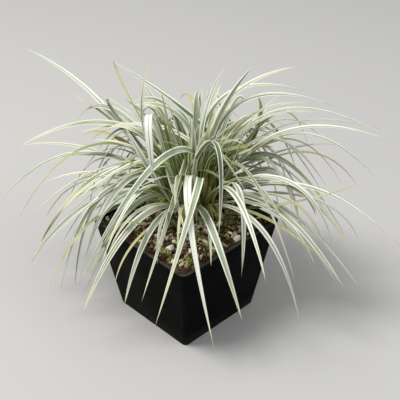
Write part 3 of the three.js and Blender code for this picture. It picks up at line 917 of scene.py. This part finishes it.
def leaf_material():
    n = Nodes("leaf_variegated")
    across, along, chance = n.mark("place")
    margin, green, gold = n.mark("look")
    fade, inner, _ = n.mark("fade")
    own = n.times(chance, 60.0)
    slow = n.times(along, 1.3)
    bands = n.noise(n.vector(n.times(across, 2.4), slow, own), 1.6, 1.0)
    lines = n.noise(n.vector(n.times(across, 9.0), slow, own), 1.5, 1.0)
    patches = n.noise(n.vector(n.times(along, 5.0), own, chance), 1.4, 2.0)

    edge = n.plus(n.maths("ABSOLUTE", across), n.scaled(bands, 0.3, -0.15))
    start = n.minus(1.0, margin)
    white = n.smooth(edge, n.minus(start, 0.06), n.plus(start, 0.06))
    colour = n.mix(white, leaf_centre(n, chance, green, bands, lines), WHITE)
    # Painted shade and the greener lower part: darker green towards the foot and in the clump's
    # heart
    low = leaf_lowness_and_shade(n, along, inner, green)
    colour = n.mix(low, colour, n.mix(white, LOW_GREEN_AND_SHADE, LOW_EDGE_AND_SHADE))
    colour = leaf_yellowed(n, colour, white, along, fade, gold, bands, patches)
    # The foot in olive and tan: partly the sheath's own colour, partly painted shade at the
    # crown's base
    foot = n.smooth(along, 0.03, n.scaled(inner, 0.1, 0.12), 0.9, 0.0)
    colour = n.mix(foot, colour, n.mix(n.smooth(lines, 0.45, 0.6), OLIVE_AND_SHADE, TAN))
    n.set(Base_Color=colour, Roughness=0.42, Specular_IOR_Level=0.45)
    n.set(Subsurface_Weight=0.05, Subsurface_Radius=(0.0008, 0.001, 0.0005))
    n.bump(lines, 0.5, 0.0003)
    return n.material


def soil_material():
    n = Nodes("potting_mix")
    where = n.where()
    grain = n.noise(where, 700.0, 4.0, 0.65)
    patches = n.noise(where, 60.0, 3.0)
    moss = n.noise(where, 42.0, 4.0, 0.6)
    colour = n.mix(n.smooth(grain, 0.35, 0.68), (0.005, 0.003, 0.0015), (0.062, 0.037, 0.018))
    colour = n.mix(n.smooth(patches, 0.5, 0.75), colour, (0.10, 0.068, 0.033))
    mossy_share = n.times(n.smooth(moss, 0.53, 0.62), n.smooth(grain, 0.38, 0.55))
    colour = n.mix(mossy_share, colour, (0.21, 0.22, 0.05))
    n.set(Base_Color=colour, Roughness=0.95, Specular_IOR_Level=0.05)
    n.bump(grain, 0.8, 0.0006)
    return n.material


def grain_material(name, dark, light, roughness=0.9):
    n = Nodes(name)
    chance, _, _ = n.mark("chance")
    mottle = n.noise(n.where(), 900.0, 3.0, 0.6)
    share = n.plus(n.times(chance, 0.8), n.smooth(mottle, 0.3, 0.7, -0.15, 0.25), clamp=True)
    n.set(Base_Color=n.mix(share, dark, light), Roughness=roughness, Specular_IOR_Level=0.1)
    n.bump(mottle, 0.6, 0.0004)
    return n.material


# How the plastic looks: specks of dust, scuffs, grime at the foot, and a paler rim top that is
# partly dust and partly a painted highlight
def pot_wear_and_highlight(n, where, cloud, speck):
    x, y, z = n.parts(where)
    scratch = n.noise(n.vector(x, y, n.times(z, 0.12)), 420.0, 2.0, 0.4)
    dust = n.times(n.smooth(speck, 0.7, 0.78), n.smooth(cloud, 0.45, 0.7))
    scuff = n.times(n.smooth(scratch, 0.62, 0.72), n.smooth(cloud, 0.5, 0.68, 0.0, 0.5))
    grime = n.times(n.smooth(z, 0.0, 0.012, 0.25, 0.0), n.smooth(cloud, 0.4, 0.65))
    # Painted highlight and dust: the top edge of the rim is paler
    rim_dust_and_highlight = n.times(n.smooth(z, 0.0712, 0.0717, 0.0, 0.5), n.smooth(cloud, 0.25, 0.6, 0.35, 1.0))
    wear = n.larger(n.times(dust, 0.5), n.times(scuff, 0.3))
    return n.larger(n.larger(wear, grime), rim_dust_and_highlight)


def pot_material():
    n = Nodes("black_plastic")
    where = n.where()
    cloud = n.noise(where, 28.0, 4.0, 0.6)
    speck = n.noise(where, 900.0, 2.0, 0.5)
    colour = n.mix(n.smooth(cloud, 0.3, 0.75), (0.0006, 0.0006, 0.0006), (0.0017, 0.0017, 0.0016))
    # Dust, scuffs, grime and the painted highlight on the rim, mixed in as a paler grey
    colour = n.mix(pot_wear_and_highlight(n, where, cloud, speck), colour, (0.11, 0.10, 0.09))
    n.set(Base_Color=colour, Roughness=n.smooth(cloud, 0.3, 0.7, 0.42, 0.6))
    n.set(Specular_IOR_Level=0.02)
    n.bump(n.plus(cloud, n.times(speck, 0.15)), 0.25, 0.0004)
    return n.material


def plain_material(name, colour, roughness):
    n = Nodes(name)
    n.set(Base_Color=colour, Roughness=roughness, Specular_IOR_Level=0.1)
    return n.material


# Soil

# The bed: cells along a side, how far its edge lies from the pot's outside, and the heights of
# its rings from the surface down
BED_CELLS = 150
BED_MARGIN = -POT_WALL - SOIL_GAP
BED_LEVELS = (52, 36, 20, POT_FLOOR + SOIL_GAP)

# Its fine relief: size and height of each layer. At the wall it rises a little.
FINE_RELIEF = [(4.1, 1.5), (1.9, 1.0), (0.9, 0.6)]
NOISE_TABLE = 64
WALL_RISE = 0.8
WALL_ZONE = (0.8, 0.92)


# The part's own relief, from the same draws
def soil_relief():
    draw = seeded_draws(RELIEF_SEED)
    half = POT_TOP / 2
    heights = np.zeros((SOIL_CELLS + 1, SOIL_CELLS + 1))
    for row in range(SOIL_CELLS + 1):
        for column in range(SOIL_CELLS + 1):
            x = -half + POT_TOP * column / SOIL_CELLS
            y = -half + POT_TOP * row / SOIL_CELLS
            away = min(1, math.hypot(x - CLUMP[0], y - CLUMP[1]) / half)
            mound = lerp(SOIL_AT_CROWN, SOIL_AT_RIM, away)
            heights[row, column] = mound + SOIL_CRUMB * (2 * draw() - 1)
    return heights


RELIEF = soil_relief()


# A value between the four corners of its cell in a table
def between_corners(table, row, column, up, along):
    after_row, after_column = (row + 1) % len(table), (column + 1) % len(table)
    low = lerp(table[row, column], table[row, after_column], along)
    high = lerp(table[after_row, column], table[after_row, after_column], along)
    return lerp(low, high, up)


def relief_at(x, y):
    half = POT_TOP / 2
    u = np.clip((x + half) / POT_TOP * SOIL_CELLS, 0, SOIL_CELLS - 1e-6)
    v = np.clip((y + half) / POT_TOP * SOIL_CELLS, 0, SOIL_CELLS - 1e-6)
    column, row = u.astype(int), v.astype(int)
    return between_corners(RELIEF, row, column, v - row, u - column)


def smooth_noise(x, y, size, seed):
    table = np.random.default_rng(seed).random((NOISE_TABLE, NOISE_TABLE))
    u, v = x / size + 31, y / size + 29
    column, row = np.floor(u).astype(int), np.floor(v).astype(int)
    along, up = u - column, v - row
    along, up = along * along * (3 - 2 * along), up * up * (3 - 2 * up)
    return between_corners(table, row % NOISE_TABLE, column % NOISE_TABLE, up, along) - 0.5


def soil_height(x, y):
    fine = 0
    for seed, (size, height) in enumerate(FINE_RELIEF, start=1):
        fine = fine + height * smooth_noise(x, y, size, seed)
    at_wall = np.maximum(np.abs(x), np.abs(y)) / (POT_TOP / 2)
    return relief_at(x, y) + fine + WALL_RISE * np.interp(at_wall, WALL_ZONE, (0, 1))


# The edge of the bed at a height, in a direction given on the unit square
def bed_edge(u, v, z):
    share = z / POT_HEIGHT
    half = lerp(POT_BOTTOM, POT_TOP, share) / 2 + BED_MARGIN
    corner = lerp(POT_CORNER_AT_BASE, POT_CORNER, share) + BED_MARGIN
    x, y = abs(u) * half, abs(v) * half
    inner = half - corner
    if x > inner and y > inner:
        b = -inner * (abs(u) + abs(v))
        a = u * u + v * v
        c = 2 * inner * inner - corner * corner
        scale = (-b + math.sqrt(max(0, b * b - a * c))) / a
        x, y = abs(u) * scale, abs(v) * scale
    return math.copysign(x, u), math.copysign(y, v)


# A cell's corner on the unit square
def on_square(column, row):
    return 2 * column / BED_CELLS - 1, 2 * row / BED_CELLS - 1


def bed_surface():
    edges = {}
    grid = np.zeros((BED_CELLS + 1, BED_CELLS + 1, 3))
    for row in range(BED_CELLS + 1):
        for column in range(BED_CELLS + 1):
            u, v = on_square(column, row)
            size = max(abs(u), abs(v))
            if size < 1e-9:
                continue
            key = (round(u / size, 9), round(v / size, 9))
            if key not in edges:
                edges[key] = bed_edge(*key, SOIL_AT_RIM)
            grid[row, column, :2] = [value * size for value in edges[key]]
    grid[..., 2] = soil_height(grid[..., 0], grid[..., 1])
    return grid.reshape(-1, 3)


# The places of the surface's border among its points, once round
def bed_border():
    number = BED_CELLS + 1
    border = list(range(BED_CELLS))
    border += [row * number + BED_CELLS for row in range(BED_CELLS)]
    border += [BED_CELLS * number + column for column in range(BED_CELLS, 0, -1)]
    border += [row * number for row in range(BED_CELLS, 0, -1)]
    return border


def make_soil(material):
    number = BED_CELLS + 1
    faces = []
    for row in range(BED_CELLS):
        for column in range(BED_CELLS):
            a = row * number + column
            faces.append((a, a + 1, a + number + 1, a + number))
    border = bed_border()
    points = [bed_surface()]
    count = len(points[0])
    previous = border
    for height in BED_LEVELS:
        squares = [on_square(index % number, index // number) for index in border]
        points.append(np.array([(*bed_edge(u, v, height), height) for u, v in squares]))
        current = list(range(count, count + len(border)))
        count += len(border)
        for step in range(len(border)):
            after = (step + 1) % len(border)
            faces.append((previous[step], current[step], current[after], previous[after]))
        previous = current
    faces.append(tuple(reversed(previous)))
    build = Build()
    build.add(np.concatenate(points), faces)
    return ride_as(build.make("soil_bed", material), "soil", "soil")


# Loose bits on the soil

# Where moss grows, and the white bits that stand out: place in plan and size
MOSS = [(-29, -30, 5), (-8, -33, 4), (28, -38, 4.5), (35, -31, 4.5), (20, 20, 5), (-38, -22, 4)]
WHITE_BITS = [(-39, -37, 4), (17, -31, 6), (30, -39.5, 5), (40, 8, 6), (-39, -14, 3), (10, -36, 3)]

# Loose bits lie between the crown and the pot's wall
SOIL_HALF = 43
CROWN_EDGE = 0.98

# Straw: how many, their size, and the turns at which the corners of their section lie
STRAWS = 170
STRAW_LENGTH = (3, 12)
STRAW_WIDTH = (0.25, 0.6)
STRAW_HEIGHT = 0.6
STRAW_STEPS = 4
STRAW_CORNERS = (0, 2.1, 4.2)

LUMP_EDGE = 1.2


# A body of twenty triangles: its corners, and faces between those that are near each other
def lump():
    phi = (1 + math.sqrt(5)) / 2
    corners = []
    for a in (-1, 1):
        for b in (-phi, phi):
            corners += [(0, a, b), (a, b, 0), (b, 0, a)]
    corners = np.array(corners) / math.hypot(1, phi)
    faces = []
    for i, j, k in combinations(range(len(corners)), 3):
        a, b, c = corners[i], corners[j], corners[k]
        if max(np.linalg.norm(a - b), np.linalg.norm(b - c), np.linalg.norm(a - c)) < LUMP_EDGE:
            outward = np.dot(np.cross(b - a, c - a), a + b + c) > 0
            faces.append((i, j, k) if outward else (i, k, j))
    return corners, faces


LUMP = lump()


def turned(rng, points):
    for axis, angle in enumerate(rng.random(3) * 2 * math.pi):
        first, second = (axis + 1) % 3, (axis + 2) % 3
        turn = np.eye(3)
        turn[first, first] = turn[second, second] = math.cos(angle)
        turn[second, first] = math.sin(angle)
        turn[first, second] = -math.sin(angle)
        points = points @ turn.T
    return points


def soil_spots(rng, wanted, border, keep=None):
    spots = []
    half = SOIL_HALF - border
    while len(spots) < wanted:
        x, y = (rng.random(2) * 2 - 1) * half
        in_corner = abs(x) + abs(y) > 2 * half - 1
        if in_corner or crown_share(x, y) < CROWN_EDGE or (keep and not keep(x, y)):
            continue
        spots.append((x, y))
    return spots


# One kind of bit: its seed, number, sizes and shape, how deep it sinks and how rough it is, and
# what says where it may lie, with some placed one by one
def scatter(name, material, seed, wanted, sizes, shape, sink, rough=0.25, keep=None, placed=()):
    rng = np.random.default_rng(seed)
    build = Build()
    corners, faces = LUMP
    spots = list(placed)
    for x, y in soil_spots(rng, wanted, sizes[1] * 0.6, keep):
        spots.append((x, y, lerp(*sizes, rng.random() ** 2)))
    for x, y, size in spots:
        rises = rough * (rng.random((len(corners), 1)) * 2 - 1)
        points = turned(rng, corners * (1 + rises) * np.array(shape)) * size / 2
        z = soil_height(x, y) + size * (0.5 - sink) * min(shape)
        build.add(points + np.array([x, y, z]), faces, chance=(rng.random(), 0.0, 0.0))
    return ride_as(build.make(name, material, smooth=False), "soil")


def mossy(x, y):
    if any(math.hypot(x - a, y - b) < reach for a, b, reach in MOSS):
        return True
    return smooth_noise(x, y, 9.0, 7) > 0.2


def add_straw(build, rng, x, y):
    length = lerp(*STRAW_LENGTH, rng.random() ** 1.5)
    width = lerp(*STRAW_WIDTH, rng.random())
    turn = rng.random() * 2 * math.pi
    tilt = 0.35 * (rng.random() - 0.4)
    direction = np.array([math.cos(turn), math.sin(turn), math.sin(tilt)])
    side = np.array([-math.sin(turn), math.cos(turn), 0.0])
    lift = np.array([0.0, 0.0, 0.6])
    bend = (rng.random() - 0.5) * 0.3 * length
    centre = np.array([x, y, soil_height(x, y) + STRAW_HEIGHT])
    points = []
    for step in range(STRAW_STEPS + 1):
        share = step / STRAW_STEPS - 0.5
        middle = centre + direction * share * length + side * bend * (1 - 4 * share * share)
        for spin in STRAW_CORNERS:
            points.append(middle + width * (side * math.cos(spin) + lift * math.sin(spin)))
    faces = tube_faces(STRAW_STEPS, len(STRAW_CORNERS))
    build.add(points, faces, chance=(rng.random(), 0.0, 0.0))


def make_straw(material):
    rng = np.random.default_rng(41)
    build = Build()
    for x, y in soil_spots(rng, STRAWS, 5.0):
        add_straw(build, rng, x, y)
    return ride_as(build.make("straw_litter", material), "soil")


def make_crumbs():
    crumb = grain_material("soil_crumb", (0.006, 0.0035, 0.0015), (0.17, 0.11, 0.056))
    scatter("soil_crumbs", crumb, 21, 1700, (0.7, 2.8), (1, 0.9, 0.7), 0.3)


def make_chips():
    bark = grain_material("bark_chip", (0.035, 0.021, 0.010), (0.55, 0.45, 0.30))
    scatter("bark_chips", bark, 22, 260, (1.8, 6.5), (1, 0.66, 0.4), 0.15, 0.45)
    fibre = grain_material("pale_chip", (0.42, 0.34, 0.21), (0.86, 0.78, 0.60))
    scatter("pale_chips", fibre, 25, 170, (1.6, 7.0), (1, 0.6, 0.42), 0.1, 0.5)


def make_white_grains():
    grit = grain_material("white_grit", (0.50, 0.46, 0.42), (0.80, 0.77, 0.74), 0.8)
    shape = (1, 0.85, 0.7)
    scatter("white_grains", grit, 23, 30, (1.2, 3.5), shape, 0.25, 0.4, placed=WHITE_BITS)


def make_moss():
    moss = grain_material("moss", (0.04, 0.075, 0.008), (0.44, 0.45, 0.14), 0.95)
    scatter("moss_tufts", moss, 24, 1500, (0.6, 1.9), (1, 1, 1.2), 0.15, 0.5, keep=mossy)


# Pot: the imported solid's form with its edges eased
EASE_WIDTH = 0.0003
EASE_ANGLE = math.radians(35)
WELD_DISTANCE = 1e-5


def make_pot(material):
    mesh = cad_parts["pot"].data.copy()
    mesh.name = "pot_shell"
    mesh.materials.clear()
    mesh.materials.append(material)
    mesh.polygons.foreach_set("use_smooth", [True] * len(mesh.polygons))
    piece = linked("pot_shell", mesh)
    weld = piece.modifiers.new("weld", "WELD")
    weld.merge_threshold = WELD_DISTANCE
    ease = piece.modifiers.new("ease", "BEVEL")
    ease.width = EASE_WIDTH
    ease.segments = 2
    ease.limit_method = "ANGLE"
    ease.angle_limit = EASE_ANGLE
    ease.harden_normals = True
    return ride_as(piece, "pot_plastic", "pot")


# Camera, floor and light, in metres
AIM = (0, 0, 0.08)
FLOOR_HALF = 6
FLOOR_COLOUR = (0.50, 0.496, 0.49)
SKY_COLOUR = (0.98, 0.99, 1.0, 1)
SKY_STRENGTH = 0.46


def look_at_clump():
    right = np.array([math.cos(CAMERA_AZIMUTH), math.sin(CAMERA_AZIMUTH), 0.0])
    up = np.cross(TO_CAMERA, right)
    data = bpy.data.cameras.new("camera")
    data.lens = CAMERA_LENS
    data.sensor_width = CAMERA_SENSOR
    data.clip_start = 0.01
    data.clip_end = 50
    camera = linked("camera", data)
    shift = right * CAMERA_SHIFT[0] + up * CAMERA_SHIFT[1]
    camera.location = (TO_CAMERA * CAMERA_DISTANCE + shift) / METRE
    camera.rotation_mode = "XYZ"
    camera.rotation_euler = (math.pi / 2 - CAMERA_ELEVATION, 0.0, CAMERA_AZIMUTH)
    bpy.context.scene.camera = camera


def add_area(name, position, size, power, colour):
    data = bpy.data.lights.new(name, "AREA")
    data.shape = "DISK"
    data.size = size
    data.energy = power
    data.color = colour
    light = linked(name, data)
    light.location = position
    light.rotation_euler = (Vector(AIM) - Vector(position)).to_track_quat("-Z", "Y").to_euler()


def make_floor():
    mesh = bpy.data.meshes.new("floor")
    corners = ((-1, -1), (1, -1), (1, 1), (-1, 1))
    points = [(x * FLOOR_HALF, y * FLOOR_HALF, 0) for x, y in corners]
    mesh.from_pydata(points, [], [(0, 1, 2, 3)])
    mesh.materials.append(plain_material("floor_paint", FLOOR_COLOUR, 0.9))
    linked("floor", mesh)


def make_light():
    world = bpy.data.worlds.new("studio")
    world.use_nodes = True
    background = world.node_tree.nodes["Background"]
    background.inputs[0].default_value = SKY_COLOUR
    background.inputs[1].default_value = SKY_STRENGTH
    bpy.context.scene.world = world
    add_area("key", (-0.5, -0.7, 1.7), 0.9, 33, (1.0, 0.985, 0.95))
    add_area("fill", (1.3, 0.5, 1.2), 1.2, 7, (0.97, 0.98, 1.0))


look_at_clump()
make_floor()
make_light()
bpy.context.scene.view_settings.view_transform = "Standard"

leaf = leaf_material()
for order, (name, angle, counts, fullness) in enumerate(TUFTS):
    make_tuft(order, name, angle, counts, fullness, leaf)

make_soil(soil_material())
make_crumbs()
make_chips()
make_white_grains()
make_moss()
make_straw(grain_material("straw", (0.20, 0.13, 0.05), (0.62, 0.50, 0.24), 0.7))
make_pot(pot_material())
